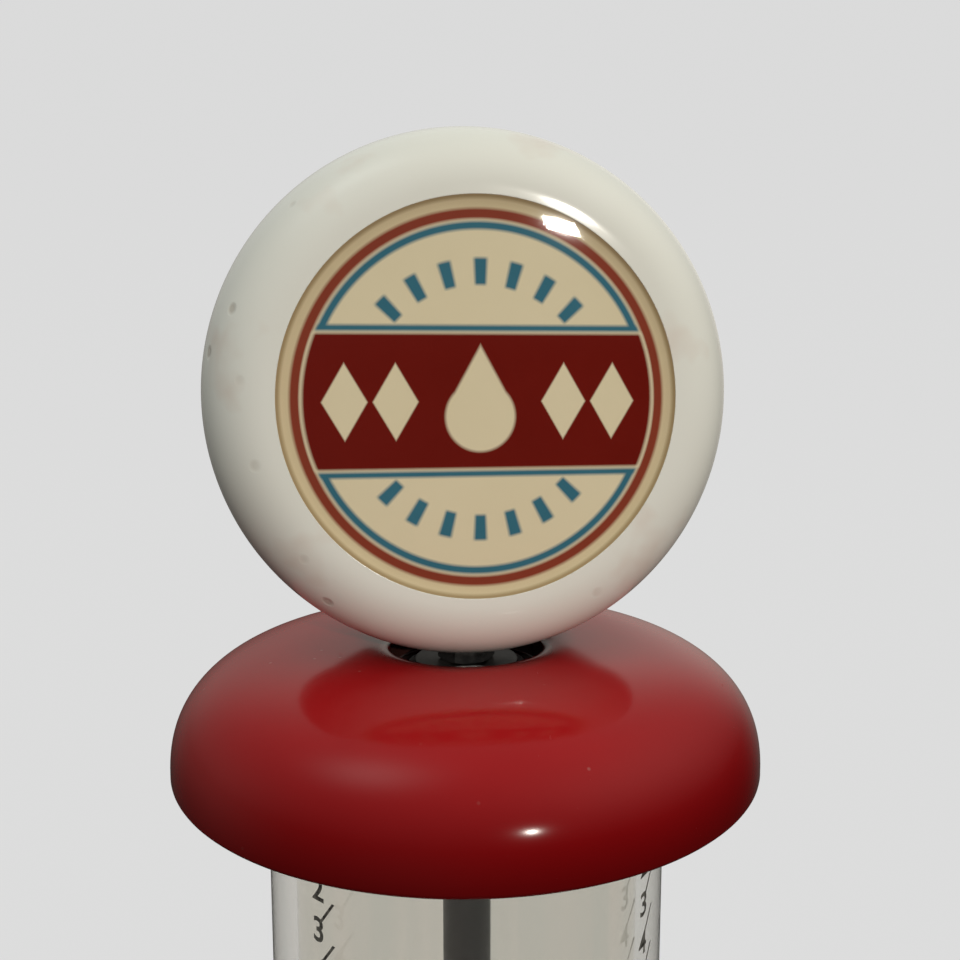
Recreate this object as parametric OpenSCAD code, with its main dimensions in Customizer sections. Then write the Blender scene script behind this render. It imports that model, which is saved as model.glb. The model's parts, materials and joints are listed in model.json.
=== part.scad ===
// Tabletop visible gas pump: a clear fluid cylinder clamped between a red cap and a red collar
// by one tie rod, on a column and a flared base, with a round white globe on top.
// Millimetres, +Z up, the front faces -Y, the origin is the centre of the base's underside.

/* [Base and column] */
// Largest radius of the base
base_r = 70; // [68:1:74]
// Height of the base without its neck
base_h = 28; // [26:1:34]
// Outer radius of the column
column_r = 38; // [37:0.5:39]
// Length of the column
column_len = 164; // [150:1:190]

/* [Cylinder] */
// Outer radius of the clear cylinder
tube_r = 40; // [40:0.1:40.2]
// Wall of the clear cylinder
tube_wall = 5; // [4:0.5:5]
// Length of the clear cylinder
tube_len = 146; // [120:1:180]
// Radius of the tie rod
rod_r = 5; // [4.9:0.1:5.2]

/* [Cap] */
// Largest radius of the cap
cap_r = 58; // [57:0.5:60]
// Height of the cap at its flat top
cap_h = 24.3; // [24:0.1:26]
// Radius of the recess in the top
recess_r = 15.5; // [15:0.1:16]

/* [Globe] */
// Radius of the globe
globe_r = 50; // [49:0.1:51]
// Thickness of the globe from face to face
globe_t = 43; // [41:0.5:46]
// Radius of the badges and lenses
badge_r = 35.2; // [34:0.1:36]

/* [Outlet valve] */
// Height of the valve's axis
valve_z = 172; // [165:1:174]
// Radius of the hose spigot
spigot_r = 4.5; // [4:0.1:5]
// Length of the lever from the plug's axis to the end
lever_len = 30; // [24:1:36]

/* [Hidden] */
$fn = 96;

wall = 3;              // moulded shells
thread_gap = 0.05;     // between a thread's outside and its hole
fit_gap = 0.3;         // between the cylinder and its sockets
face_gap = 0.05;       // between faces that part when a piece is lifted or turned
over = 1;              // how far a cutting solid runs past the face it cuts

// Heights from the floor up
pad_t = 2;
plate_t = 2;
plate_z = pad_t;
cup_h = 10;                            // the plate's cup, which holds the rod's nut
base_top = pad_t + base_h - 2;
neck_h = 10;
column_z = base_top + 4;
column_top = column_z + column_len;
collar_h = 24;
collar_top = column_top + collar_h;
floor_z = column_top + 10;             // the collar's floor, under the fluid
gasket_t = 1.6;
tube_z = floor_z + gasket_t;
tube_top = tube_z + tube_len;

// The cap's bottom plane, and heights above it
socket_h = 10;
cap_z = tube_top + gasket_t + face_gap - socket_h;
liner_top = 14;
recess_floor = 18;
seal_t = 1;
flange_t = 1.2;
nut_t = 3;
nut_z = cap_z + recess_floor + face_gap + seal_t + flange_t;
insert_z = nut_z + nut_t;
globe_z = cap_z + 73;
stud_len_in_rod = 8;
insert_len = 12;
insert_depth = 11;
lens_depth = 2.4;                      // from the globe's face down to the badge
badge_t = 0.6;
rod_top = cap_z + 9;
rod_z = 3;

// Radii
stud_r = 3;
insert_r = 5.5;
liner_r = 46;
base_neck_r = column_r + 4;
collar_r = 54;
plate_r = base_r - 8;
screw_pcr = plate_r - 7;
screw_r = 2;
screw_head_r = 3.8;
screw_head_h = 1.6;
screw_len = 12;
boss_r = 5;
grommet_r = 8;

// Outlet
drain_y = -18;
pipe_r = 4;
pipe_bore_r = 3;
shank_r = 6;
plug_y = -52;
outlet_y = -64.5;
outlet_r = 5.4;
flange_y = -column_r - 4;
plug_r = 5;
housing_r = 8;
housing_h = 9;

// A quarter of a superellipse from its widest point (a = 0) to its top (a = 90)
function quarter(xc, zc, rx, rz, px, pz, n = 12) =
    [for (i = [0 : n]) let (a = 90 * i / n)
        [xc + rx * pow(cos(a), 2 / px), zc + rz * pow(sin(a), 2 / pz)]];

function reversed(list) = [for (i = [len(list) - 1 : -1 : 0]) list[i]];

// A ring or washer round the Z axis
module ring(r_in, r_out, z, h) {
    translate([0, 0, z])
        difference() {
            cylinder(r = r_out, h = h);
            translate([0, 0, -over]) cylinder(r = r_in, h = h + 2 * over);
        }
}

// A hexagonal nut round the Z axis; across is its size over flats
module hex_nut(r_in, across, z, h) {
    translate([0, 0, z])
        difference() {
            cylinder(r = across / sqrt(3), h = h, $fn = 6);
            translate([0, 0, -over]) cylinder(r = r_in, h = h + 2 * over);
        }
}

// Turns a solid made along +Z so that it runs along -Y, at height z
module along_front(z) {
    translate([0, 0, z]) rotate([90, 0, 0]) children();
}

// ---- base -------------------------------------------------------------------------------------

module base_pad() {
    color("#2a2a2c") cylinder(r = base_r - 3.5, h = pad_t);
}

module base_plate() {
    cup_r = 14;
    outline = [[rod_r + 0.5, plate_z + cup_h], [cup_r - 2, plate_z + cup_h], [cup_r, plate_z + 1],
               [cup_r, plate_z], [plate_r, plate_z], [plate_r, plate_z + plate_t],
               [cup_r + 2, plate_z + plate_t], [cup_r, plate_z + cup_h + plate_t],
               [rod_r + 0.5, plate_z + cup_h + plate_t]];
    color("#8c8f92")
        difference() {
            rotate_extrude() polygon(outline);
            for (a = [45 : 90 : 315])
                rotate(a) translate([screw_pcr, 0, plate_z]) {
                    cylinder(r1 = screw_head_r, r2 = screw_r, h = screw_head_h);
                    translate([0, 0, -over]) cylinder(r = screw_r, h = plate_t + 2 * over);
                }
        }
}

// One countersunk screw, head down, standing on z = 0
module plate_screw() {
    slot_depth = 0.8;
    difference() {
        union() {
            cylinder(r1 = screw_head_r, r2 = screw_r, h = screw_head_h);
            cylinder(r = screw_r, h = screw_len);
        }
        translate([-screw_head_r, -0.5, -over]) cube([2 * screw_head_r, 1, over + slot_depth]);
    }
}

module plate_screws() {
    color("#b9bcc0")
        for (a = [45 : 90 : 315])
            rotate(a) translate([screw_pcr, 0, plate_z]) plate_screw();
}

// The outer line of the base, from its foot to the foot of its neck
function base_outline() = concat(
    [[plate_r + 0.1, plate_z], [base_r - 4, plate_z]],
    [for (i = [1 : 4]) [base_r - 4 + 4 * sin(18 * i), plate_z + 6 - 6 * cos(18 * i)]],
    quarter(base_neck_r, plate_z + 6, base_r - base_neck_r, base_top - plate_z - 6, 2.2, 2.4));

module base_shell() {
    inner_top = base_top - wall;
    outline = concat(
        base_outline(),
        [[base_neck_r, base_top + neck_h], [column_r, base_top + neck_h], [column_r, column_z],
         [column_r - 6, column_z], [column_r - 6, inner_top]],
        reversed(quarter(base_neck_r - wall, plate_z + 8, base_r - base_neck_r,
                         inner_top - plate_z - 8, 2.2, 2.4, 10)),
        [[plate_r + 1, plate_z + 6], [plate_r + 1, plate_z + plate_t + 2],
         [plate_r - 2, plate_z + plate_t + 2], [plate_r - 2, plate_z + plate_t],
         [plate_r + 0.1, plate_z + plate_t]]);
    color("#a81420")
        difference() {
            union() {
                rotate_extrude() polygon(outline);
                for (a = [45 : 90 : 315])
                    rotate(a) translate([screw_pcr, 0, plate_z + plate_t])
                        cylinder(r = boss_r, h = screw_len + 2);
            }
            for (a = [45 : 90 : 315])
                rotate(a) translate([screw_pcr, 0, plate_z]) cylinder(r = screw_r, h = screw_len);
        }
}

module rod_washer() {
    color("#b9bcc0") ring(rod_r + 0.3, 10, plate_z + cup_h - 1.5, 1.5);
}

module rod_nut() {
    color("#b9bcc0") hex_nut(rod_r, 16, plate_z + cup_h - 7.5, 6);
}

module tie_rod() {
    hole = 12;
    color("#4a3d3a")
        difference() {
            translate([0, 0, rod_z]) cylinder(r = rod_r, h = rod_top - rod_z);
            translate([0, 0, rod_top - hole]) cylinder(r = stud_r + thread_gap, h = hole + over);
        }
}

// ---- column and collar ------------------------------------------------------------------------

module column() {
    color("#a81420")
        difference() {
            translate([0, 0, column_z]) cylinder(r = column_r, h = column_len);
            translate([0, 0, column_z - over]) cylinder(r = column_r - wall, h = column_len + 2 * over);
            along_front(valve_z) cylinder(r = shank_r + 0.2, h = column_r + over);
        }
}

module collar() {
    spigot_outer = column_r - wall - 0.1;
    outline = concat(
        [[rod_r + 2.5, floor_z - 6], [spigot_outer - wall, floor_z - 6],
         [spigot_outer - wall, column_top - 10], [spigot_outer, column_top - 10],
         [spigot_outer, column_top], [column_r + 4, column_top]],
        [for (i = [1 : 10]) let (a = 9 * i)
            [column_r + 4 + 12 * sin(a), column_top + 12 - 12 * cos(a)]],
        [for (i = [1 : 10]) let (a = 9 * i)
            [collar_r - 8 + 8 * cos(a), column_top + 12 + 12 * sin(a)]],
        [[tube_r + fit_gap, collar_top], [tube_r + fit_gap, floor_z], [rod_r + 2.5, floor_z]]);
    color("#a81420")
        difference() {
            rotate_extrude() polygon(outline);
            translate([0, drain_y, floor_z - 6 - over]) cylinder(r = shank_r, h = 6 + 2 * over);
        }
}

module lower_gasket() {
    color("#202022") ring(tube_r - tube_wall - 0.5, tube_r, floor_z, gasket_t);
}

module rod_seal() {
    flange = 1.5;
    color("#202022")
        difference() {
            union() {
                translate([0, 0, floor_z - 6]) cylinder(r = rod_r + 2.5, h = 6);
                translate([0, 0, floor_z]) cylinder(r = grommet_r, h = flange);
            }
            translate([0, 0, floor_z - 6 - over]) cylinder(r = rod_r, h = 6 + flange + 2 * over);
        }
}

module seal_nut() {
    color("#c8cacc") hex_nut(rod_r, 16, floor_z + 1.5, 5);
}

module fluid_cylinder() {
    color("#dcd8c8", 0.35) ring(tube_r - tube_wall, tube_r, tube_z, tube_len);
}

// ---- drain ------------------------------------------------------------------------------------

module drain_fitting() {
    flange = 2;
    bottom = floor_z - 20;
    color("#c9a24a")
        translate([0, drain_y, 0])
            difference() {
                union() {
                    translate([0, 0, bottom]) cylinder(r = shank_r, h = floor_z + 1 - bottom);
                    translate([0, 0, floor_z + 1]) cylinder(r = 8, h = flange);
                }
                translate([0, 0, bottom - over]) cylinder(r = pipe_bore_r, h = 30);
                translate([0, 0, bottom - over]) cylinder(r = pipe_r, h = 8 + over);
            }
}

module drain_seal() {
    color("#202022") translate([0, drain_y, 0]) ring(shank_r, 8, floor_z, 1);
}

module drain_nut() {
    color("#c9a24a") translate([0, drain_y, 0]) hex_nut(shank_r, 16, floor_z - 11, 5);
}

module drain_pipe() {
    color("#d9d6cc")
        translate([0, drain_y, 0]) ring(pipe_bore_r, pipe_r, valve_z + 5, floor_z - 12 - valve_z - 5);
}

module drain_elbow() {
    color("#c9a24a")
        difference() {
            union() {
                along_front(valve_z) translate([0, 0, -drain_y]) cylinder(r = 7.5, h = 10);
                translate([0, drain_y, valve_z - 7.5]) cylinder(r = 7.5, h = 20);
            }
            along_front(valve_z) translate([0, 0, -drain_y]) cylinder(r = pipe_bore_r, h = 10 + over);
            along_front(valve_z) translate([0, 0, -drain_y + 6]) cylinder(r = shank_r, h = 4 + over);
            translate([0, drain_y, valve_z]) cylinder(r = pipe_bore_r, h = 20);
            translate([0, drain_y, valve_z + 5]) cylinder(r = pipe_r, h = 20);
        }
}

// ---- outlet valve -----------------------------------------------------------------------------

module saddle_gasket() {
    color("#202022")
        difference() {
            along_front(valve_z) translate([0, 0, column_r - 6]) cylinder(r = 13, h = 10);
            along_front(valve_z) cylinder(r = shank_r, h = column_r + 20);
            translate([0, 0, valve_z - 20]) cylinder(r = column_r, h = 40);
        }
}

module inner_saddle() {
    inner_r = column_r - wall;
    color("#e8e4d8")
        intersection() {
            difference() {
                along_front(valve_z) translate([0, 0, inner_r - 3.5]) cylinder(r = 10, h = 10);
                along_front(valve_z) cylinder(r = shank_r, h = column_r + 20);
            }
            translate([0, 0, valve_z - 20]) cylinder(r = inner_r, h = 40);
        }
}

module shank_nut() {
    color("#c9a24a") along_front(valve_z) hex_nut(shank_r, 16, column_r - wall - 7, 3.5);
}

module valve_body() {
    shank_start = 24;
    color("#d4d7da")
        difference() {
            union() {
                along_front(valve_z) {
                    translate([0, 0, shank_start]) cylinder(r = shank_r, h = -plug_y - shank_start);
                    translate([0, 0, -plug_y]) cylinder(r = outlet_r, h = plug_y - outlet_y);
                    translate([0, 0, -flange_y]) cylinder(r = 12, h = 2);
                    translate([0, 0, -flange_y + 2]) cylinder(r1 = 10, r2 = 7, h = 2);
                }
                translate([0, plug_y, valve_z - housing_h]) cylinder(r = housing_r, h = 2 * housing_h);
                translate([0, outlet_y, valve_z - housing_h]) cylinder(r = outlet_r, h = housing_h);
                translate([0, outlet_y, valve_z]) sphere(r = outlet_r);
            }
            along_front(valve_z) translate([0, 0, shank_start - over])
                cylinder(r = pipe_bore_r, h = -outlet_y - shank_start + over);
            translate([0, outlet_y, valve_z - housing_h - over])
                cylinder(r = pipe_bore_r, h = housing_h + over);
            translate([0, outlet_y, valve_z - housing_h - over]) cylinder(r = 3.8, h = 4 + over);
            translate([0, plug_y, valve_z - housing_h - over])
                cylinder(r = plug_r + thread_gap, h = 2 * housing_h + 2 * over);
        }
}

module hose_spigot() {
    stem = 16;
    flange = 2;
    top = valve_z - housing_h;
    color("#d4d7da")
        translate([0, outlet_y, 0])
            difference() {
                union() {
                    translate([0, 0, top]) cylinder(r = 3.8, h = 4);
                    translate([0, 0, top - flange]) cylinder(r = outlet_r, h = flange);
                    translate([0, 0, top - flange - stem]) cylinder(r = spigot_r, h = stem);
                }
                translate([0, 0, top - flange - stem - over]) cylinder(r = 2.6, h = 30);
            }
}

module valve_plug() {
    neck_r = 3;
    color("#c9a24a")
        translate([0, plug_y, 0])
            difference() {
                union() {
                    translate([0, 0, valve_z - housing_h]) cylinder(r = plug_r, h = 2 * housing_h + 1);
                    translate([0, 0, valve_z + housing_h + 1]) cylinder(r = neck_r, h = 6);
                    translate([0, 0, valve_z - housing_h - 6]) cylinder(r = neck_r, h = 6);
                }
                translate([-10, 0, valve_z]) rotate([0, 90, 0]) cylinder(r = 2.6, h = 20);
            }
}

module lever() {
    bottom = valve_z + housing_h + 1;
    thick = 5;
    color("#d4d7da")
        difference() {
            union() {
                translate([0, plug_y, bottom]) cylinder(r = 7, h = thick + 1);
                translate([0, plug_y - 3, bottom + 1]) cube([lever_len - 4, 6, thick - 1]);
                translate([lever_len - 4, plug_y, bottom + 1]) cylinder(r = 4, h = thick - 1);
            }
            translate([0, plug_y, bottom - over]) cylinder(r = 3, h = thick + 1 + 2 * over);
        }
}

module lever_screw() {
    top = valve_z + housing_h + 7;
    color("#b9bcc0")
        difference() {
            translate([0, plug_y, top]) cylinder(r = 4.2, h = 2.2);
            translate([-5, plug_y - 0.5, top + 1.2]) cube([10, 1, 2]);
        }
}

module plug_washer() {
    color("#b9bcc0")
        translate([0, plug_y, 0]) ring(3, 5.6, valve_z - housing_h - 1 - face_gap, 1);
}

module plug_nut() {
    color("#c9a24a")
        translate([0, plug_y, 0]) hex_nut(3, 8, valve_z - housing_h - 5 - face_gap, 4);
}

// ---- cap --------------------------------------------------------------------------------------

function cap_outline(z, inset) = concat(
    [for (i = [1 : 5]) let (a = 18 * i)
        [cap_r - 11 + (11 - inset) * sin(a), z + inset + (2.8 - inset) * (1 - cos(a))]],
    quarter(30, z + 2.8, cap_r - 30 - inset, cap_h - 2.8 - inset, 2.2, 2.45, 16));

module cap_shell() {
    z = cap_z;
    edge = 0.8;
    outline = concat(
        [[liner_r, z + wall], [liner_r, z], [cap_r - 11, z]],
        cap_outline(z, 0),
        [[recess_r + edge, z + cap_h], [recess_r, z + cap_h - edge], [recess_r, z + recess_floor],
         [stud_r + 0.3, z + recess_floor], [stud_r + 0.3, z + liner_top],
         [recess_r + wall, z + liner_top], [recess_r + wall, z + cap_h - wall]],
        reversed(quarter(30, z + wall + 1, cap_r - 30 - wall, cap_h - 2 * wall - 1, 2.2, 2.45, 12)),
        [[cap_r - wall, z + wall]]);
    color("#a81420") rotate_extrude() polygon(outline);
}

module cap_liner() {
    z = cap_z;
    bore_r = tube_r - tube_wall - fit_gap;
    rim = 0.6;
    outline = [
        [stud_r + 0.3, z + socket_h], [bore_r - wall, z + socket_h], [bore_r - wall, z + socket_h - 5],
        [bore_r, z + socket_h - 5], [bore_r, z + socket_h], [tube_r + fit_gap, z + socket_h],
        [tube_r + fit_gap, z + rim], [liner_r, z + rim], [liner_r, z + liner_top],
        [stud_r + 0.3, z + liner_top]];
    color("#1c1c1e") rotate_extrude() polygon(outline);
}

module top_gasket() {
    color("#202022") ring(tube_r - tube_wall + 0.2, tube_r, cap_z + socket_h - gasket_t, gasket_t);
}

// ---- globe ------------------------------------------------------------------------------------

module seal_washer() {
    color("#202022") ring(stud_r, 12, cap_z + recess_floor + face_gap, seal_t);
}

module flange_washer() {
    color("#c8cacc") ring(stud_r, 10.5, cap_z + recess_floor + face_gap + seal_t, flange_t);
}

module jam_nut() {
    color("#d4d7da") hex_nut(stud_r, 10, nut_z, nut_t);
}

module globe_stud() {
    bottom = rod_top - stud_len_in_rod;
    color("#b9bcc0")
        translate([0, 0, bottom]) cylinder(r = stud_r, h = insert_z + insert_depth - bottom);
}

module globe_insert() {
    color("#c9a24a")
        difference() {
            translate([0, 0, insert_z]) cylinder(r = insert_r, h = insert_len);
            translate([0, 0, insert_z - over]) cylinder(r = stud_r, h = insert_depth + over);
        }
}

// The globe's pieces are turned round the Y axis, with the front at -Y
module globe_place() {
    translate([0, 0, globe_z]) rotate([90, 0, 0]) children();
}

module globe_body() {
    seat_r = 7;
    half = globe_t / 2;
    rim_start = badge_r + 1;
    inner_r = badge_r - 4;
    step = half - lens_depth - badge_t;
    front = quarter(rim_start, 0, globe_r - rim_start, half, 2.2, 2.2, 14);
    outline = concat(
        [for (p = reversed(front)) [p[0], -p[1]]],
        [for (i = [1 : len(front) - 1]) front[i]],
        [[badge_r, half], [badge_r, step], [inner_r, step], [inner_r, -step], [badge_r, -step],
         [badge_r, -half]]);
    color("#ecebe2")
        difference() {
            globe_place() rotate_extrude() polygon(outline);
            // turned so that their seams lie clear of the rim's widest line
            rotate(45) {
                translate([0, 0, insert_z - 5]) cylinder(r = insert_r, h = insert_len + 5);
                translate([0, 0, insert_z - 10]) cylinder(r = seat_r, h = 10);
            }
        }
}

module badge(face) {
    color("#7c1c1a")
        globe_place() translate([0, 0, face > 0 ? globe_t / 2 - lens_depth - badge_t : -globe_t / 2 + lens_depth])
            cylinder(r = badge_r, h = badge_t);
}

module lens(face) {
    crown = 0.5;
    z = globe_t / 2 - lens_depth;
    color("#f2efe0", 0.3)
        globe_place() rotate([face > 0 ? 0 : 180, 0, 0])
            rotate_extrude()
                polygon([[0, z], [badge_r, z], [badge_r, globe_t / 2 - 0.2],
                         [badge_r - 1, globe_t / 2 + crown / 2], [badge_r - 4, globe_t / 2 + crown],
                         [0, globe_t / 2 + crown]]);
}

module badge_front() { badge(1); }
module badge_rear() { badge(-1); }
module lens_front() { lens(1); }
module lens_rear() { lens(-1); }

base_pad();
base_plate();
plate_screws();
base_shell();
rod_nut();
rod_washer();
tie_rod();
column();
collar();
lower_gasket();
rod_seal();
seal_nut();
fluid_cylinder();
drain_fitting();
drain_seal();
drain_nut();
drain_pipe();
drain_elbow();
saddle_gasket();
inner_saddle();
shank_nut();
valve_body();
hose_spigot();
valve_plug();
lever();
lever_screw();
plug_washer();
plug_nut();
cap_shell();
cap_liner();
top_gasket();
seal_washer();
flange_washer();
jam_nut();
globe_stud();
globe_insert();
globe_body();
badge_front();
lens_front();
badge_rear();
lens_rear();
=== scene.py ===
"""The looks of a tabletop visible gas pump, built round its CAD frame. Metres, +Z up, front at -Y."""
import json
import math

import bmesh
import bpy
from mathutils import Euler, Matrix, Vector


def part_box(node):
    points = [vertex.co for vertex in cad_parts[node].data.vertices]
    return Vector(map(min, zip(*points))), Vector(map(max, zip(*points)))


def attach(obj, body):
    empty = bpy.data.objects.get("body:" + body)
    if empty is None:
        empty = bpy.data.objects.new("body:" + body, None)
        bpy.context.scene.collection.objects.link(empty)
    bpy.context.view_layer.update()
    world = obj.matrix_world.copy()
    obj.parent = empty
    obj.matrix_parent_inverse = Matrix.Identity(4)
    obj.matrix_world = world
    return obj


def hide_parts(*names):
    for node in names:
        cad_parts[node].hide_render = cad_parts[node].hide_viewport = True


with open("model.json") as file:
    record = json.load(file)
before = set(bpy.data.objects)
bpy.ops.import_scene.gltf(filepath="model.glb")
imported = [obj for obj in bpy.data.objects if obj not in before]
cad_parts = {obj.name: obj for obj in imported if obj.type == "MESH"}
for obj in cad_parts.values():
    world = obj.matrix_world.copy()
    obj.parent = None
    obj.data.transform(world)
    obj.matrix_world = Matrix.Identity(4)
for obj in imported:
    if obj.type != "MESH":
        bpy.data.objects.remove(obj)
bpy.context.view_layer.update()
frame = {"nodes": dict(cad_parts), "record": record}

MM = 0.001
TAU = 2 * math.pi


# ---- places, read from the frame -------------------------------------------------------------

def height(node):
    """The lowest and highest z of a CAD node."""
    low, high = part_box(node)
    return low.z, high.z


def radius(node):
    """Half the width of a CAD node that is round about the Z axis."""
    low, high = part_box(node)
    return (high.x - low.x) / 2


cap_z, cap_top = height("cap_shell")
cap_r = radius("cap_shell")
tube_z, tube_top = height("fluid_cylinder")
tube_r = radius("fluid_cylinder")
column_z, column_top = height("column")
column_r = radius("column")
base_z, neck_top = height("base_shell")
base_r = radius("base_shell")
collar_top = height("collar")[1]
collar_r = radius("collar")
globe_low, globe_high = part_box("globe_body")
globe_r = (globe_high.x - globe_low.x) / 2
globe_half = (globe_high.y - globe_low.y) / 2
globe_z = globe_high.z - globe_r
badge_r = radius("badge_front")
rod_r = radius("tie_rod")
RECESS_R = 15.5 * MM                    # the recess in the cap's top, as in the CAD


# ---- mesh helpers ------------------------------------------------------------------------------

def quarter(xc, zc, rx, rz, px, pz, n=24):
    """A quarter of a superellipse, from its widest point to its top."""
    points = []
    for i in range(n + 1):
        a = math.pi / 2 * i / n
        points.append((xc + rx * max(math.cos(a), 0.0) ** (2 / px), zc + rz * math.sin(a) ** (2 / pz)))
    return points


def rounded(outline, size, steps=4, least=0.35):
    """A closed outline with an arc at each corner that turns by more than `least` radians.

    A guard point beside each arc keeps the smooth shading of the long faces flat.
    """
    points = []
    guard = 0.3 * size
    count = len(outline)
    for i, (x, y) in enumerate(outline):
        p = Vector((x, y))
        before = Vector(outline[i - 1]) - p
        after = Vector(outline[(i + 1) % count]) - p
        if min(before.length, after.length) < 1e-9 or x < 1e-9:
            points.append((x, y))
            continue
        turn = math.pi - before.angle(after)
        if turn < least:
            points.append((x, y))
            continue
        back = min(size * math.tan(turn / 2), 0.45 * before.length, 0.45 * after.length)
        start = p + before.normalized() * back
        end = p + after.normalized() * back
        if before.length - back > 3 * guard:
            points.append(tuple(start + before.normalized() * guard))
        for k in range(steps + 1):
            t = k / steps
            q = start * (1 - t) ** 2 + p * 2 * t * (1 - t) + end * t ** 2
            points.append((q.x, q.y))
        if after.length - back > 3 * guard:
            points.append(tuple(end + after.normalized() * guard))
    return points


def new_object(name, mesh):
    data = bpy.data.meshes.new(name)
    bmesh.ops.recalc_face_normals(mesh, faces=mesh.faces)
    mesh.to_mesh(data)
    mesh.free()
    obj = bpy.data.objects.new(name, data)
    bpy.context.scene.collection.objects.link(obj)
    return obj


def smooth(obj, angle=35):
    """Smooth shading, with edges sharper than `angle` degrees kept."""
    obj.data.shade_smooth()
    obj.data.set_sharp_from_angle(angle=math.radians(angle))
    return obj


def bridge(mesh, rings, closed):
    """Faces from each ring of points to the next, and from the last to the first where closed."""
    steps = max(len(ring) for ring in rings)
    ahead = rings[1:] + rings[:1] if closed else rings[1:]
    for ring, following in zip(rings, ahead):
        if len(ring) == 1 and len(following) == 1:
            continue
        for k in range(steps):
            j = (k + 1) % steps
            corners = [ring[k % len(ring)], ring[j % len(ring)],
                       following[j % len(following)], following[k % len(following)]]
            mesh.faces.new(list(dict.fromkeys(corners)))


def add_lathe(mesh, outline, steps, place, closed=True):
    """Turns an outline of (radius, height) into faces; place(r, h, angle) gives each point."""
    rings = []
    for r, h in outline:
        if r < 1e-7:
            rings.append([mesh.verts.new(place(0.0, h, 0.0))])
        else:
            rings.append([mesh.verts.new(place(r, h, TAU * k / steps)) for k in range(steps)])
    bridge(mesh, rings, closed)


def upright(r, h, a):
    """Places a lathe point round the Z axis."""
    return r * math.cos(a), r * math.sin(a), h


def facing(z, sign=-1):
    """Places lathe points round an axis along Y at height z; sign -1 faces the front."""
    return lambda r, h, a: (r * math.cos(a), sign * h, z + r * math.sin(a))


def lathe(name, outline, place=upright, steps=192):
    mesh = bmesh.new()
    add_lathe(mesh, outline, steps, place)
    return smooth(new_object(name, mesh))


def ring_outline(r_in, r_out, low, high, edge):
    return rounded([(r_in, low), (r_out, low), (r_out, high), (r_in, high)], edge, 3)


def hex_radius(across, angle):
    """The distance from a hexagon's centre to its side, in a direction."""
    turn = (angle + math.pi / 6) % (math.pi / 3) - math.pi / 6
    return across / 2 / math.cos(math.pi / 6 - abs(turn))


def hex_nut(name, bore, across, low, high, steps=144):
    """An upright nut with chamfered corners, which lie at multiples of 60 degrees."""
    mesh = bmesh.new()
    lip = 0.25 * MM
    flat = across / 2 * 0.97
    rings = []
    for level in range(8):
        ring = []
        for k in range(steps):
            a = TAU * k / steps
            side = hex_radius(across, a)
            drop = (side - flat) * 0.5
            r, h = [(bore, low + lip), (bore + lip, low), (flat, low), (side, low + drop),
                    (side, high - drop), (flat, high), (bore + lip, high), (bore, high - lip)][level]
            ring.append(mesh.verts.new(upright(r, h, a)))
        rings.append(ring)
    bridge(mesh, rings, closed=True)
    return smooth(new_object(name, mesh), 20)


def threaded_rod(name, r, low, high, pitch, steps=48, per_turn=8):
    """An upright right-hand screw thread with closed ends."""
    mesh = bmesh.new()
    depth = 0.55 * pitch
    rows = int((high - low) / pitch * per_turn)
    rings = []
    for i in range(rows + 1):
        h = low + (high - low) * i / rows
        taper = min(1.0, i / per_turn, (rows - i) / per_turn)
        ring = []
        for k in range(steps):
            phase = (h / pitch - k / steps) % 1.0
            crest = min(1.0, 1.3 * (1 - abs(2 * phase - 1)))
            reach = r - depth + depth * taper * crest
            ring.append(mesh.verts.new(upright(reach, h, TAU * k / steps)))
        rings.append(ring)
    bridge(mesh, rings, closed=False)
    for ring, h in ((rings[0], low), (rings[-1], high)):
        centre = mesh.verts.new((0.0, 0.0, h))
        for k in range(steps):
            mesh.faces.new([ring[k], ring[(k + 1) % steps], centre])
    return smooth(new_object(name, mesh), 50)


# ---- material helpers ------------------------------------------------------------------------

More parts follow.
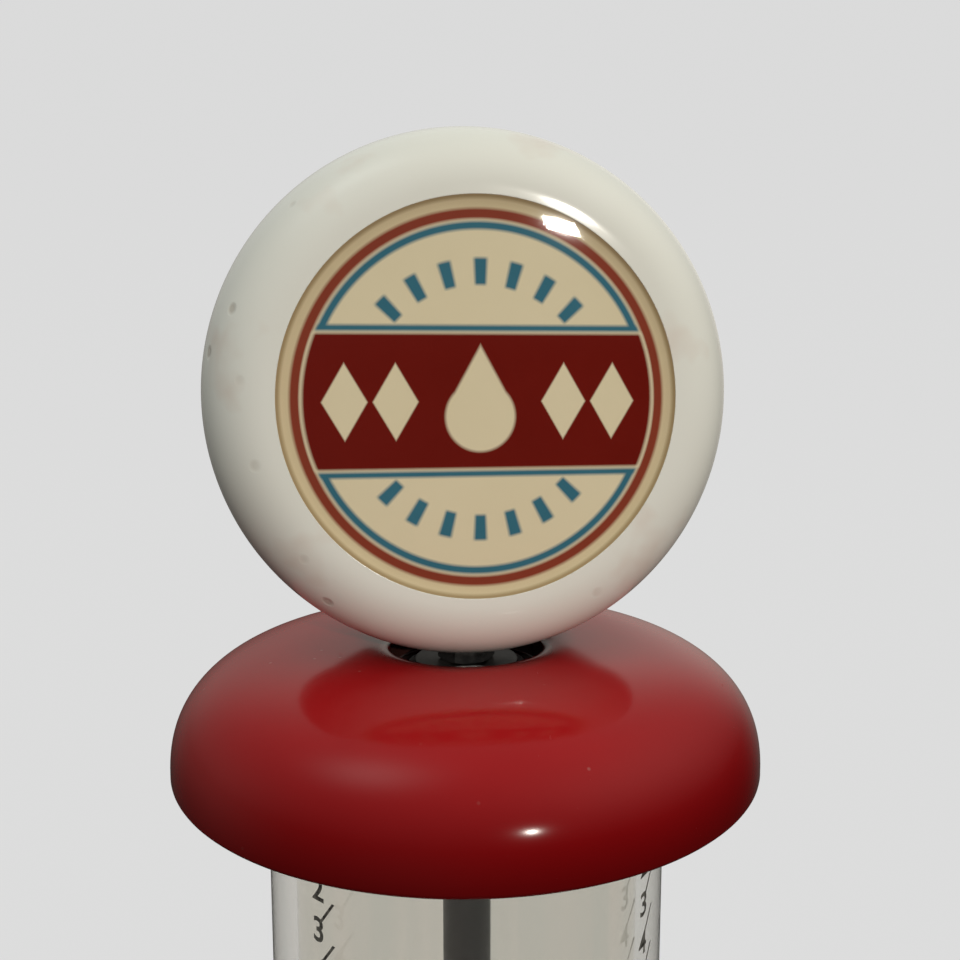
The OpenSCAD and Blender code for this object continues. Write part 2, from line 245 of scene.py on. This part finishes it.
class Shader:
    """A material with one Principled shader, and short calls to add the nodes that drive it."""

    def __init__(self, name):
        self.material = bpy.data.materials.new(name)
        self.material.use_nodes = True
        self.tree = self.material.node_tree
        self.bsdf = self.tree.nodes["Principled BSDF"]
        self.place = self.tree.nodes.new("ShaderNodeTexCoord").outputs["Object"]

    def link(self, source, target):
        self.tree.links.new(source, target)

    def set(self, **values):
        """Sets or links the Principled shader's sockets, named with _ for a space."""
        for key, value in values.items():
            self.feed(self.bsdf.inputs[key.replace("_", " ")], value)

    def feed(self, socket, value):
        if isinstance(value, bpy.types.NodeSocket):
            self.link(value, socket)
        elif isinstance(value, tuple) and len(value) == 3 and socket.type == "RGBA":
            socket.default_value = (*value, 1.0)
        else:
            socket.default_value = value

    def maths(self, operation, *values):
        node = self.tree.nodes.new("ShaderNodeMath")
        node.operation = operation
        for socket, value in zip(node.inputs, values):
            self.feed(socket, value)
        return node.outputs[0]

    def product(self, a, b):
        return self.maths("MULTIPLY", a, b)

    def length(self, a, b):
        """The length of a flat vector."""
        return self.maths("SQRT", self.maths("ADD", self.product(a, a), self.product(b, b)))

    def mix(self, amount, a, b):
        node = self.tree.nodes.new("ShaderNodeMix")
        node.data_type = "RGBA"
        self.feed(node.inputs["Factor"], amount)
        self.feed(node.inputs[6], a)
        self.feed(node.inputs[7], b)
        return node.outputs[2]

    def span(self, value, low, high, to_low=0.0, to_high=1.0):
        node = self.tree.nodes.new("ShaderNodeMapRange")
        for socket, number in zip(node.inputs, (value, low, high, to_low, to_high)):
            self.feed(socket, number)
        return node.outputs[0]

    def stretched(self, scale=(1, 1, 1), turn=(0, 0, 0)):
        """Coordinates scaled along each axis, for streaks."""
        node = self.tree.nodes.new("ShaderNodeMapping")
        self.link(self.place, node.inputs["Vector"])
        node.inputs["Scale"].default_value = scale
        node.inputs["Rotation"].default_value = turn
        return node.outputs[0]

    def noise(self, scale, detail=3.0, rough=0.55, vector=None):
        node = self.tree.nodes.new("ShaderNodeTexNoise")
        self.link(vector or self.place, node.inputs["Vector"])
        node.inputs["Scale"].default_value = scale
        node.inputs["Detail"].default_value = detail
        node.inputs["Roughness"].default_value = rough
        return node.outputs["Fac"]

    def cells(self, scale):
        """Distance from the nearest of many scattered points."""
        node = self.tree.nodes.new("ShaderNodeTexVoronoi")
        self.link(self.place, node.inputs["Vector"])
        node.inputs["Scale"].default_value = scale
        return node.outputs["Distance"]

    def bump(self, heightfield, strength, distance):
        node = self.tree.nodes.new("ShaderNodeBump")
        self.link(heightfield, node.inputs["Height"])
        node.inputs["Strength"].default_value = strength
        node.inputs["Distance"].default_value = distance
        self.link(node.outputs["Normal"], self.bsdf.inputs["Normal"])

    def coordinates(self):
        node = self.tree.nodes.new("ShaderNodeSeparateXYZ")
        self.link(self.place, node.inputs[0])
        return node.outputs


def red_lacquer():
    """Glossy red moulding: faint clouds, hairline scratches, dust specks, a dull ring round the recess,
    and painted shade inside the recess and towards the lower edge.
    """
    s = Shader("red_lacquer")
    cloud = s.noise(18.0, 4.0)
    tone = s.mix(s.span(cloud, 0.3, 0.7), (0.34, 0.005, 0.007), (0.40, 0.007, 0.009))
    streaks = s.noise(1.0, 2.0, 0.5, s.stretched((900, 60, 900), (0.3, 0.5, 0.9)))
    scratch = s.span(streaks, 0.70, 0.78)
    speck = s.span(s.cells(260.0), 0.10, 0.05)
    dusty = s.product(speck, s.span(s.noise(40.0), 0.52, 0.6))
    tone = s.mix(s.product(dusty, 0.25), tone, (0.55, 0.30, 0.27))
    x, y, z = s.coordinates()
    reach = s.length(x, y)
    # painted shade: a deeper red towards the cap's lower edge, where the cap lies in shade, but not on the
    # pieces below the cap
    low = s.span(z, cap_z + 20 * MM, cap_z + 4 * MM)
    low = s.product(low, s.span(z, cap_z - 20 * MM, cap_z - 10 * MM))
    tone = s.mix(s.product(low, 0.55), tone, (0.10, 0.0015, 0.002))
    # a patchy ring on top of the cap round its recess: greyer, as dust, and darker, as painted shade under
    # the globe
    ring = s.product(s.span(reach, RECESS_R + 7 * MM, RECESS_R + 3 * MM),
                     s.span(z, cap_top - 4 * MM, cap_top - 1 * MM))
    ring = s.product(ring, s.span(s.noise(110.0, 4.0), 0.35, 0.65, 0.35, 0.75))
    tone = s.mix(ring, tone, (0.13, 0.03, 0.026))
    # painted shade: the recess walls darkened where the globe shades them
    pocket = s.product(s.span(z, cap_top - 1 * MM, cap_top - 2.5 * MM),
                       s.span(z, cap_z + 8 * MM, cap_z + 10 * MM))
    recess_shade = s.product(pocket, s.span(reach, RECESS_R + 2 * MM, RECESS_R + 0.5 * MM))
    tone = s.mix(recess_shade, tone, (0.035, 0.012, 0.010))
    s.set(Base_Color=tone, IOR=1.5, Specular_IOR_Level=0.2)
    gloss = s.span(s.noise(25.0, 3.0), 0.3, 0.7, 0.10, 0.17)
    s.set(Roughness=s.maths("ADD", gloss, s.product(scratch, 0.15)))
    waves = s.product(s.noise(30.0, 2.0), 0.5)
    s.bump(s.maths("ADD", waves, s.product(scratch, 0.03)), 0.25, 0.0004)
    return s.material


def aged_white():
    """Glossy white moulding, a little yellowed, with small pits and stains."""
    s = Shader("aged_white")
    cloud = s.noise(14.0, 4.0)
    tone = s.mix(s.span(cloud, 0.3, 0.7), (0.84, 0.83, 0.76), (0.89, 0.885, 0.83))
    field = s.noise(22.0, 2.0)
    pit = s.product(s.span(s.cells(95.0), 0.13, 0.07), s.span(field, 0.50, 0.56))
    stain = s.product(s.span(s.noise(55.0, 3.0), 0.60, 0.72), 0.35)
    tone = s.mix(stain, tone, (0.72, 0.56, 0.47))
    tone = s.mix(s.product(pit, 0.45), tone, (0.42, 0.34, 0.26))
    s.set(Base_Color=tone, IOR=1.5, Specular_IOR_Level=0.22)
    s.set(Roughness=s.span(s.noise(30.0, 3.0), 0.3, 0.7, 0.08, 0.14))
    s.bump(s.maths("SUBTRACT", s.product(s.noise(45.0, 2.0), 0.6), pit), 0.35, 0.0004)
    return s.material


def clear_plastic(name, low, high, rough, grain=(40, 40, 40)):
    """Clear plastic whose tint varies faintly, in streaks where grain is stretched."""
    s = Shader(name)
    tint = s.mix(s.span(s.noise(1.0, 2.0, 0.5, s.stretched(grain)), 0.35, 0.65), low, high)
    s.set(Base_Color=tint, Roughness=rough, IOR=1.49, Transmission_Weight=1.0)
    return s.material


def plain(name, low, high, rough, scale=60.0, metal=0.0, bump=0.2, grain=(1, 1, 1)):
    """A material whose tone, roughness and surface vary gently with one stretched noise."""
    s = Shader(name)
    field = s.noise(scale, 4.0, 0.6, s.stretched(grain))
    s.set(Base_Color=s.mix(s.span(field, 0.3, 0.7), low, high), Metallic=metal)
    s.set(Roughness=s.span(field, 0.3, 0.7, rough[0], rough[1]))
    s.bump(field, bump, 0.0001)
    return s.material


def badge_print():
    """Printed disc: rust and blue rings, gauge bars, and a red stripe with a drop and lozenges.

    Its lengths are parts of the badge's radius.
    """
    s = Shader("badge_print")
    x, _, z = s.coordinates()
    z = s.maths("SUBTRACT", z, globe_z)
    x = s.maths("DIVIDE", x, badge_r)
    z = s.maths("DIVIDE", z, badge_r)
    soft = 0.009

    def inside(value, edge):
        return s.span(value, edge + soft, edge - soft)

    def band(value, low, high):
        return s.product(s.span(value, low - soft, low + soft), inside(value, high))

    cream = s.mix(s.noise(60.0, 4.0), (0.79, 0.69, 0.48), (0.84, 0.74, 0.53))
    margin = s.mix(s.noise(90.0, 3.0), (0.69, 0.565, 0.36), (0.75, 0.625, 0.41))
    red = s.mix(s.noise(80.0, 4.0), (0.145, 0.008, 0.005), (0.18, 0.011, 0.007))
    rust = s.mix(s.noise(80.0, 4.0), (0.24, 0.045, 0.025), (0.30, 0.055, 0.03))
    blue = s.mix(s.noise(80.0, 3.0), (0.035, 0.15, 0.22), (0.055, 0.19, 0.27))
    r = s.length(x, z)
    high = s.maths("ABSOLUTE", z)
    wide = s.maths("ABSOLUTE", x)
    # from the rim inwards: a brown edge, the margin, a rust ring, a cream line, a blue ring, the ground
    edge = 0.982
    rust_out = 0.935
    rust_in = 0.885
    blue_in = 0.835
    line = 0.012
    field = inside(r, rust_in - line)
    tone = s.mix(inside(r, edge), (0.42, 0.31, 0.17), margin)
    tone = s.mix(inside(r, rust_out), tone, rust)
    tone = s.mix(inside(r, rust_in), tone, cream)
    tone = s.mix(field, tone, blue)
    tone = s.mix(inside(r, blue_in), tone, cream)
    # the stripe, edged with blue and a fine cream line
    stripe = 0.345
    trim = 0.03
    tone = s.mix(s.product(inside(high, stripe + trim), field), tone, blue)
    tone = s.mix(s.product(inside(high, stripe), inside(r, rust_in)), tone, cream)
    tone = s.mix(s.product(inside(high, stripe - line), field), tone, red)
    # gauge bars on two arcs, clear of the stripe
    turn = s.maths("ARCTAN2", x, high)
    step = TAU / 24
    part = s.maths("SUBTRACT", s.maths("FRACT", s.maths("ADD", s.maths("DIVIDE", turn, step), 0.5)), 0.5)
    across = s.maths("ABSOLUTE", s.product(part, step * 0.63))
    bars = s.product(inside(across, 0.03), band(r, 0.57, 0.70))
    bars = s.product(bars, inside(s.maths("ABSOLUTE", turn), 3.5 * step))
    tone = s.mix(bars, tone, blue)
    # the drop: a circle with a point above it
    ball = s.length(x, s.maths("ADD", z, 0.075))
    slope = s.maths("ADD", wide, s.product(z, 0.55))
    point = s.product(inside(slope, 0.152), s.span(z, 0.0, 0.01))
    tone = s.mix(s.maths("MAXIMUM", inside(ball, 0.175), point), tone, cream)
    # lozenges either side
    for offset in (0.42, 0.67):
        near = s.maths("ABSOLUTE", s.maths("SUBTRACT", wide, offset))
        lozenge = inside(s.maths("ADD", s.product(near, 1.7), high), 0.19)
        tone = s.mix(lozenge, tone, cream)
    s.set(Base_Color=tone, Roughness=0.5, Specular_IOR_Level=0.0)
    return s.material


def scale_ink():
    """Worn dark grey print."""
    s = Shader("scale_ink")
    worn = s.noise(900.0, 3.0, 0.7)
    s.set(Base_Color=s.mix(s.span(worn, 0.4, 0.6), (0.10, 0.095, 0.085), (0.42, 0.40, 0.36)))
    s.set(Roughness=s.span(worn, 0.3, 0.7, 0.45, 0.7))
    return s.material


RED = red_lacquer()
WHITE = aged_white()
ACRYLIC = clear_plastic("clear_acrylic", (0.76, 0.755, 0.70), (0.82, 0.785, 0.725), 0.02, (130, 130, 4))
RESIN = clear_plastic("clear_resin", (0.985, 0.97, 0.92), (0.995, 0.98, 0.94), 0.035)
BADGE = badge_print()
INK = scale_ink()
ROD = plain("dark_rod", (0.006, 0.0045, 0.004), (0.026, 0.021, 0.018), (0.36, 0.54), 90.0, 0.1, 0.15,
            (1, 1, 0.35))
STEEL = plain("zinc_steel", (0.26, 0.26, 0.26), (0.40, 0.39, 0.38), (0.14, 0.28), 240.0, 1.0, 0.2)
CHROME = plain("chrome", (0.70, 0.70, 0.71), (0.78, 0.78, 0.78), (0.08, 0.16), 70.0, 1.0, 0.06)
BRASS = plain("brass", (0.52, 0.36, 0.15), (0.66, 0.48, 0.22), (0.22, 0.36), 160.0, 1.0, 0.15)
RUBBER = plain("rubber", (0.010, 0.010, 0.011), (0.028, 0.028, 0.029), (0.55, 0.75), 300.0, 0.0, 0.4)
BLACK = plain("black_plastic", (0.012, 0.012, 0.013), (0.022, 0.022, 0.024), (0.38, 0.5), 220.0, 0.0, 0.25)
NYLON = plain("nylon", (0.62, 0.60, 0.52), (0.70, 0.68, 0.61), (0.4, 0.5), 120.0, 0.0, 0.2)

SLOT_MATERIALS = {
    "red_plastic": RED, "white_plastic": WHITE, "clear_acrylic": ACRYLIC, "clear_resin": RESIN,
    "badge_print": BADGE, "dark_steel": ROD, "steel": STEEL, "chrome": CHROME, "brass": BRASS,
    "rubber": RUBBER, "black_plastic": BLACK, "nylon": NYLON,
}
NODE_SLOTS = {part["node"]: part["material_slot"] for part in frame["record"]["subparts"]}


def paint(obj, material):
    obj.data.materials.clear()
    obj.data.materials.append(material)


def stand_for(piece, *nodes):
    """The piece takes the place of CAD nodes of one body, and the first one's slot and material."""
    slot = NODE_SLOTS[nodes[0]]
    bodies = frame["record"]["behaviour"]["bodies"]
    body = next(name for name, members in bodies.items() if nodes[0] in members)
    paint(piece, SLOT_MATERIALS[slot])
    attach(piece, body)
    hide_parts(*nodes)
    return piece


for node_name, node_object in frame["nodes"].items():
    paint(node_object, SLOT_MATERIALS[NODE_SLOTS[node_name]])
    smooth(node_object)


# ---- cap ---------------------------------------------------------------------------------------

def cap_outline():
    wall = 3 * MM
    lip = 11 * MM
    bulge = 2.8 * MM
    flat_r = 30 * MM
    liner_r = radius("cap_liner")
    liner_top = cap_z + 14 * MM
    recess_floor = cap_z + 18 * MM
    bore = 3.3 * MM
    dip = 1.0 * MM
    inner_low = cap_z + wall + 1 * MM
    low = [(cap_r - lip + lip * math.sin(a), cap_z + bulge * (1 - math.cos(a)))
           for a in (math.pi / 2 * i / 16 for i in range(16))]
    outer = quarter(flat_r, cap_z + bulge, cap_r - flat_r, cap_top - cap_z - bulge, 2.2, 2.45, 40)
    dish = [(RECESS_R + 6 * MM * (1 - t), cap_top - dip * t * t) for t in (0.2 * i for i in range(5))]
    pocket = [(RECESS_R + 0.5 * MM, cap_top - dip - 0.1 * MM), (RECESS_R, cap_top - dip - 0.7 * MM),
              (RECESS_R, recess_floor), (bore, recess_floor), (bore, liner_top),
              (RECESS_R + wall, liner_top), (RECESS_R + wall, cap_top - wall)]
    inner = quarter(flat_r, inner_low, cap_r - flat_r - wall, cap_top - wall - inner_low, 2.2, 2.45, 20)
    return ([(liner_r, cap_z + wall), (liner_r, cap_z)] + low + outer + dish + pocket
            + inner[::-1] + [(cap_r - wall, cap_z + wall)])


stand_for(lathe("cap_bun", rounded(cap_outline(), 0.5 * MM, 5, 0.5), steps=256), "cap_shell")

# ---- globe -------------------------------------------------------------------------------------

LENS_DEPTH = 2.4 * MM                   # from the globe's face to the CAD badge
BADGE_T = 0.6 * MM
PRINT_DEPTH = 0.9 * MM                  # from the globe's face to the flat of the print
DISH_R = 0.925 * badge_r                # where the print starts to rise to the seam


def globe_outline():
    start = badge_r + 1 * MM
    inner_r = badge_r - 4 * MM
    step = globe_half - LENS_DEPTH - BADGE_T
    front = quarter(start, 0, globe_r - start, globe_half, 2.2, 2.2, 40)
    back = [(x, -y) for x, y in front[::-1]]
    return (back + front[1:] + [(badge_r, globe_half), (badge_r, step), (inner_r, step),
                                (inner_r, -step), (badge_r, -step), (badge_r, -globe_half)])


globe = lathe("globe_disc", rounded(globe_outline(), 0.12 * MM, 4, 0.6), facing(globe_z), 256)
stand_for(globe, "globe_body")


def dish_wall(r, low, high):
    """The slope from the flat of the print up to the seam at the globe's face."""
    return [(DISH_R + (r - DISH_R) * t, low + (high - low) * t * t) for t in (i / 16 for i in range(17))]


def badge_outline():
    """The printed disc, dished so that its rim meets the globe's face."""
    front = globe_half - PRINT_DEPTH
    back = globe_half - LENS_DEPTH - BADGE_T
    wall = dish_wall(badge_r, front, globe_half - 0.1 * MM)
    return [(0.0, back), (badge_r, back)] + wall[::-1] + [(0.0, front)]


def lens_outline():
    """The cast dome, which reaches a little into the print and the globe, so that no air lies between."""
    crown = 0.24 * MM
    bond = 0.1 * MM
    edge_r = badge_r + bond
    low = globe_half - PRINT_DEPTH - bond
    wall = dish_wall(edge_r, low, globe_half - 0.1 * MM - bond)
    dome = [(edge_r * (1 - t) ** 0.5, globe_half + crown - crown * 0.9 * (1 - t) ** 4)
            for t in (i / 24 for i in range(25))]
    return [(0.0, low)] + wall + dome


for side, sign in (("front", -1), ("rear", 1)):
    place = facing(globe_z, sign)
    stand_for(lathe("badge_dish_" + side, badge_outline(), place), "badge_" + side)
    lens = lathe("lens_dome_" + side, lens_outline(), place)
    stand_for(lens, "lens_" + side)
    lens.visible_shadow = False
    lens.visible_diffuse = False

# ---- base and collar ---------------------------------------------------------------------------

def base_outline():
    wall = 3 * MM
    neck_r = column_r + 4 * MM
    foot = 4 * MM
    plate_r = radius("base_plate")
    widest = base_z + 6 * MM
    inner_low = base_z + 8 * MM
    top = neck_top - 10 * MM
    low = [(base_r - foot + foot * math.sin(a), base_z + (widest - base_z) * (1 - math.cos(a)))
           for a in (math.pi / 2 * i / 12 for i in range(12))]
    outer = quarter(neck_r, widest, base_r - neck_r, top - widest, 2.2, 2.4, 32)
    inner = quarter(neck_r - wall, inner_low, base_r - neck_r, top - wall - inner_low, 2.2, 2.4, 16)
    return ([(plate_r + 0.1 * MM, base_z)] + low + outer
            + [(neck_r, neck_top), (column_r, neck_top), (column_r, column_z),
               (column_r - 6 * MM, column_z), (column_r - 6 * MM, top - wall)] + inner[::-1]
            + [(plate_r + 1 * MM, widest), (plate_r + 1 * MM, base_z + 4 * MM),
               (plate_r - 2 * MM, base_z + 4 * MM), (plate_r - 2 * MM, base_z + 2 * MM),
               (plate_r + 0.1 * MM, base_z + 2 * MM)])


stand_for(lathe("base_bun", rounded(base_outline(), 1.0 * MM, 5, 0.5), steps=256), "base_shell")


def collar_outline():
    spigot = column_r - 3.1 * MM
    floor = column_top + 10 * MM
    socket = tube_r + 0.3 * MM
    bore = rod_r + 2.5 * MM
    turn = 12 * MM
    shoulder = 8 * MM
    low = [(column_r + 4 * MM + turn * math.sin(a), column_top + turn * (1 - math.cos(a)))
           for a in (math.pi / 2 * i / 20 for i in range(1, 21))]
    high = [(collar_r - shoulder + shoulder * math.cos(a), column_top + turn * (1 + math.sin(a)))
            for a in (math.pi / 2 * i / 20 for i in range(1, 21))]
    return ([(bore, floor - 6 * MM), (spigot - 3 * MM, floor - 6 * MM),
             (spigot - 3 * MM, column_top - 10 * MM), (spigot, column_top - 10 * MM),
             (spigot, column_top), (column_r + 4 * MM, column_top)]
            + low + high + [(socket, collar_top), (socket, floor), (bore, floor)])


stand_for(lathe("collar_ring", rounded(collar_outline(), 0.8 * MM, 4, 0.5), steps=256), "collar")

# ---- clear cylinder and its printed scale ------------------------------------------------------

TUBE_WALL = 5 * MM
tube_ring = ring_outline(tube_r - TUBE_WALL, tube_r, tube_z, tube_top, 0.3 * MM)
cylinder = lathe("clear_tube", tube_ring, steps=256)
stand_for(cylinder, "fluid_cylinder")
cylinder.visible_shadow = False
cylinder.visible_diffuse = False


def printed(name, text, size, angle, z, lean=0.0):
    """A flat mark wrapped on the cylinder's outside, centred at an angle from the front and a height."""
    curve = bpy.data.curves.new(name, "FONT")
    curve.body = text
    curve.size = size
    curve.align_x, curve.align_y = "CENTER", "CENTER"
    curve.offset = 0.12 * MM
    curve.resolution_u = 4
    maker = bpy.data.objects.new(name, curve)
    bpy.context.scene.collection.objects.link(maker)
    bpy.context.view_layer.update()
    data = bpy.data.meshes.new_from_object(maker.evaluated_get(bpy.context.evaluated_depsgraph_get()))
    bpy.data.objects.remove(maker)
    obj = bpy.data.objects.new(name, data)
    bpy.context.scene.collection.objects.link(obj)
    surface = tube_r + 0.02 * MM
    for vertex in data.vertices:
        x, y = vertex.co.x, vertex.co.y
        a = angle + (x + lean * y) / surface
        vertex.co = (surface * math.sin(a), -surface * math.cos(a), z + y)
    return obj


def join(name, pieces):
    """One object from several flat ones."""
    mesh = bmesh.new()
    for piece in pieces:
        mesh.from_mesh(piece.data)
        bpy.data.objects.remove(piece)
    data = bpy.data.meshes.new(name)
    mesh.to_mesh(data)
    mesh.free()
    obj = bpy.data.objects.new(name, data)
    bpy.context.scene.collection.objects.link(obj)
    return obj


SCALE_MARKS = 14
SCALE_PITCH = 7.8 * MM
SCALE_TOP = cap_z - 4.5 * MM
SCALE_ANGLE = math.radians(48)          # from the front to each column of marks
DIGIT_SIZE = 6.5 * MM
STROKE_SIZE = 6.0 * MM
STROKE_LEAN = 0.45
for side, angle in (("left", -SCALE_ANGLE), ("right", SCALE_ANGLE)):
    marks = []
    for i in range(SCALE_MARKS):
        z = SCALE_TOP - i * SCALE_PITCH
        below = z - SCALE_PITCH / 2
        marks.append(printed("digit", str(i + 1), DIGIT_SIZE, angle, z))
        marks.append(printed("tick", "/", STROKE_SIZE, angle + math.radians(3), below, STROKE_LEAN))
    scale = join("scale_" + side, marks)
    paint(scale, INK)
    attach(scale, "stand")

# ---- fasteners near the globe ------------------------------------------------------------------

nut_z, nut_high = height("jam_nut")
stand_for(hex_nut("jam_nut_hex", 3 * MM, 10 * MM, nut_z, nut_high), "jam_nut")
stud_low, stud_high = height("globe_stud")
stand_for(threaded_rod("globe_stud_thread", 3 * MM, stud_low, stud_high, 1 * MM), "globe_stud")
# painted shade in part: the washer takes the dark steel of its slot, darker than bare steel, for the shade
# it lies in under the globe
washer_low, washer_high = height("flange_washer")
washer_ring = ring_outline(3.05 * MM, radius("flange_washer"), washer_low, washer_high, 0.35 * MM)
stand_for(lathe("flange_ring", washer_ring), "flange_washer")

# ---- stage, light and camera -------------------------------------------------------------------

CAMERA_OUT = 189 * MM
CAMERA_UP = 80.8 * MM
CAMERA_AZIMUTH = math.radians(-7)
CAMERA_PITCH = 0.128
CAMERA_YAW = math.radians(-0.84)
BACKDROP = (0.716, 0.716, 0.716)


def add_stage():
    """A pale floor that curves up into a backdrop on every side."""
    mesh = bmesh.new()
    flat, bend, top = 2.2, 1.2, 4.5
    outline = [(0.0, 0.0), (flat * 0.2, 0.0), (flat, 0.0)]
    outline += [(flat + bend * math.sin(a), bend * (1 - math.cos(a)))
                for a in (math.pi / 2 * i / 16 for i in range(1, 17))]
    outline += [(flat + bend, top)]
    add_lathe(mesh, outline, 96, upright, closed=False)
    stage = smooth(new_object("stage", mesh), 60)
    # matt paper near the object, and an evenly lit backdrop further out
    s = Shader("stage_paper")
    x, y, _ = s.coordinates()
    far = s.span(s.length(x, y), 0.2, 0.4)
    s.set(Base_Color=s.mix(far, (0.60, 0.60, 0.60), (0.03, 0.03, 0.03)))
    s.set(Roughness=0.9, Specular_IOR_Level=0.0)
    s.set(Emission_Color=s.mix(far, (0.42, 0.42, 0.42), (0.70, 0.70, 0.70)), Emission_Strength=1.0)
    paint(stage, s.material)
    stage.visible_glossy = False
    stage.visible_diffuse = False
    stage.visible_shadow = False


def add_light(name, kind, power, place, target, colour):
    light = bpy.data.lights.new(name, kind)
    light.energy = power
    light.color = colour
    obj = bpy.data.objects.new(name, light)
    obj.location = place
    obj.rotation_euler = (Vector(target) - Vector(place)).to_track_quat("-Z", "Y").to_euler()
    bpy.context.scene.collection.objects.link(obj)
    return light


WARM = (1.0, 0.95, 0.86)
COOL = (0.93, 1.0, 0.97)
# soft patches of light round the room: azimuth (0 is in front, 90 to the right), elevation, sharpness,
# strength and colour
GLOWS = [
    (0, 90, 1, 0.56, COOL),         # ceiling
    (0, -90, 1, 0.03, WARM),        # table
    (-30, -8, 6, 0.09, WARM),       # pale wall and floor in front, to the left
    (180, 40, 6, 0.50, WARM),       # window behind
    (150, 8, 14, 0.60, WARM),       # bright room behind, to the right
    (-150, 8, 14, 0.25, WARM),      # and to the left
    (85, 40, 8, 0.45, WARM),        # right
    (-100, 10, 8, 0.30, WARM),      # left
    (50, 40, 10, 0.30, WARM),       # right of the front
    (-74, 64, 34, 2.00, COOL),      # skylight on the left
]


def add_world():
    """Soft room light: the sum of the glows."""
    world = bpy.data.worlds.new("room")
    world.use_nodes = True
    bpy.context.scene.world = world
    tree = world.node_tree
    coords = tree.nodes.new("ShaderNodeTexCoord").outputs["Generated"]

    def maths(operation, *values):
        node = tree.nodes.new("ShaderNodeMath")
        node.operation = operation
        for socket, value in zip(node.inputs, values):
            if isinstance(value, bpy.types.NodeSocket):
                tree.links.new(value, socket)
            else:
                socket.default_value = value
        return node.outputs[0]

    def add(glow, total):
        """Adds a round patch that fades away from its centre."""
        azimuth, elevation, sharpness, strength, colour = glow
        a, e = math.radians(azimuth), math.radians(elevation)
        dot = tree.nodes.new("ShaderNodeVectorMath")
        dot.operation = "DOT_PRODUCT"
        tree.links.new(coords, dot.inputs[0])
        dot.inputs[1].default_value = (math.sin(a) * math.cos(e), -math.cos(a) * math.cos(e), math.sin(e))
        ahead = maths("MAXIMUM", dot.outputs["Value"], 0.0)
        fade = maths("MULTIPLY", maths("POWER", ahead, sharpness), strength)
        node = tree.nodes.new("ShaderNodeVectorMath")
        node.operation = "MULTIPLY_ADD"
        tree.links.new(fade, node.inputs[0])
        node.inputs[1].default_value = colour
        if total:
            tree.links.new(total, node.inputs[2])
        return node.outputs[0]

    light = None
    for glow in GLOWS:
        light = add(glow, light)
    # what shows through the clear cylinder or a lens, or glints inside them, is the pale backdrop
    path = tree.nodes.new("ShaderNodeLightPath").outputs
    through = path["Transmission Depth"]
    other = maths("SUBTRACT", path["Ray Depth"], maths("ADD", through, path["Glossy Depth"]))
    through = maths("MULTIPLY", maths("GREATER_THAN", through, 0.5), maths("LESS_THAN", other, 0.5))
    pick = tree.nodes.new("ShaderNodeMix")
    pick.data_type = "RGBA"
    tree.links.new(through, pick.inputs["Factor"])
    tree.links.new(light, pick.inputs[6])
    pick.inputs[7].default_value = (*BACKDROP, 1.0)
    tree.links.new(pick.outputs[2], tree.nodes["Background"].inputs["Color"])


def add_camera():
    data = bpy.data.cameras.new("camera")
    data.lens, data.sensor_width = 36.0, 36.0
    data.clip_start = 0.01
    camera = bpy.data.objects.new("camera", data)
    camera.location = (CAMERA_OUT * math.sin(CAMERA_AZIMUTH), -CAMERA_OUT * math.cos(CAMERA_AZIMUTH),
                       cap_z + CAMERA_UP)
    camera.rotation_euler = Euler((math.pi / 2 - CAMERA_PITCH, 0.0, CAMERA_AZIMUTH + CAMERA_YAW))
    bpy.context.scene.collection.objects.link(camera)
    bpy.context.scene.camera = camera


add_stage()
add_world()
# a small lamp to the right of the camera and behind it, brightest towards the globe
LAMP_PLACE = (0.25, -0.95, cap_z + 0.285)
lamp = add_light("lamp_front", "AREA", 0.6, LAMP_PLACE, (0, 0, cap_z), WARM)
lamp.shape = "RECTANGLE"
lamp.size, lamp.size_y = 0.055, 0.035
beam = add_light("lamp_beam", "SPOT", 17.0, LAMP_PLACE, (0, 0, globe_z), WARM)
beam.spot_size = math.radians(12)
beam.spot_blend = 1.0
beam.shadow_soft_size = 0.012
add_camera()
bpy.context.scene.view_settings.view_transform = "Standard"
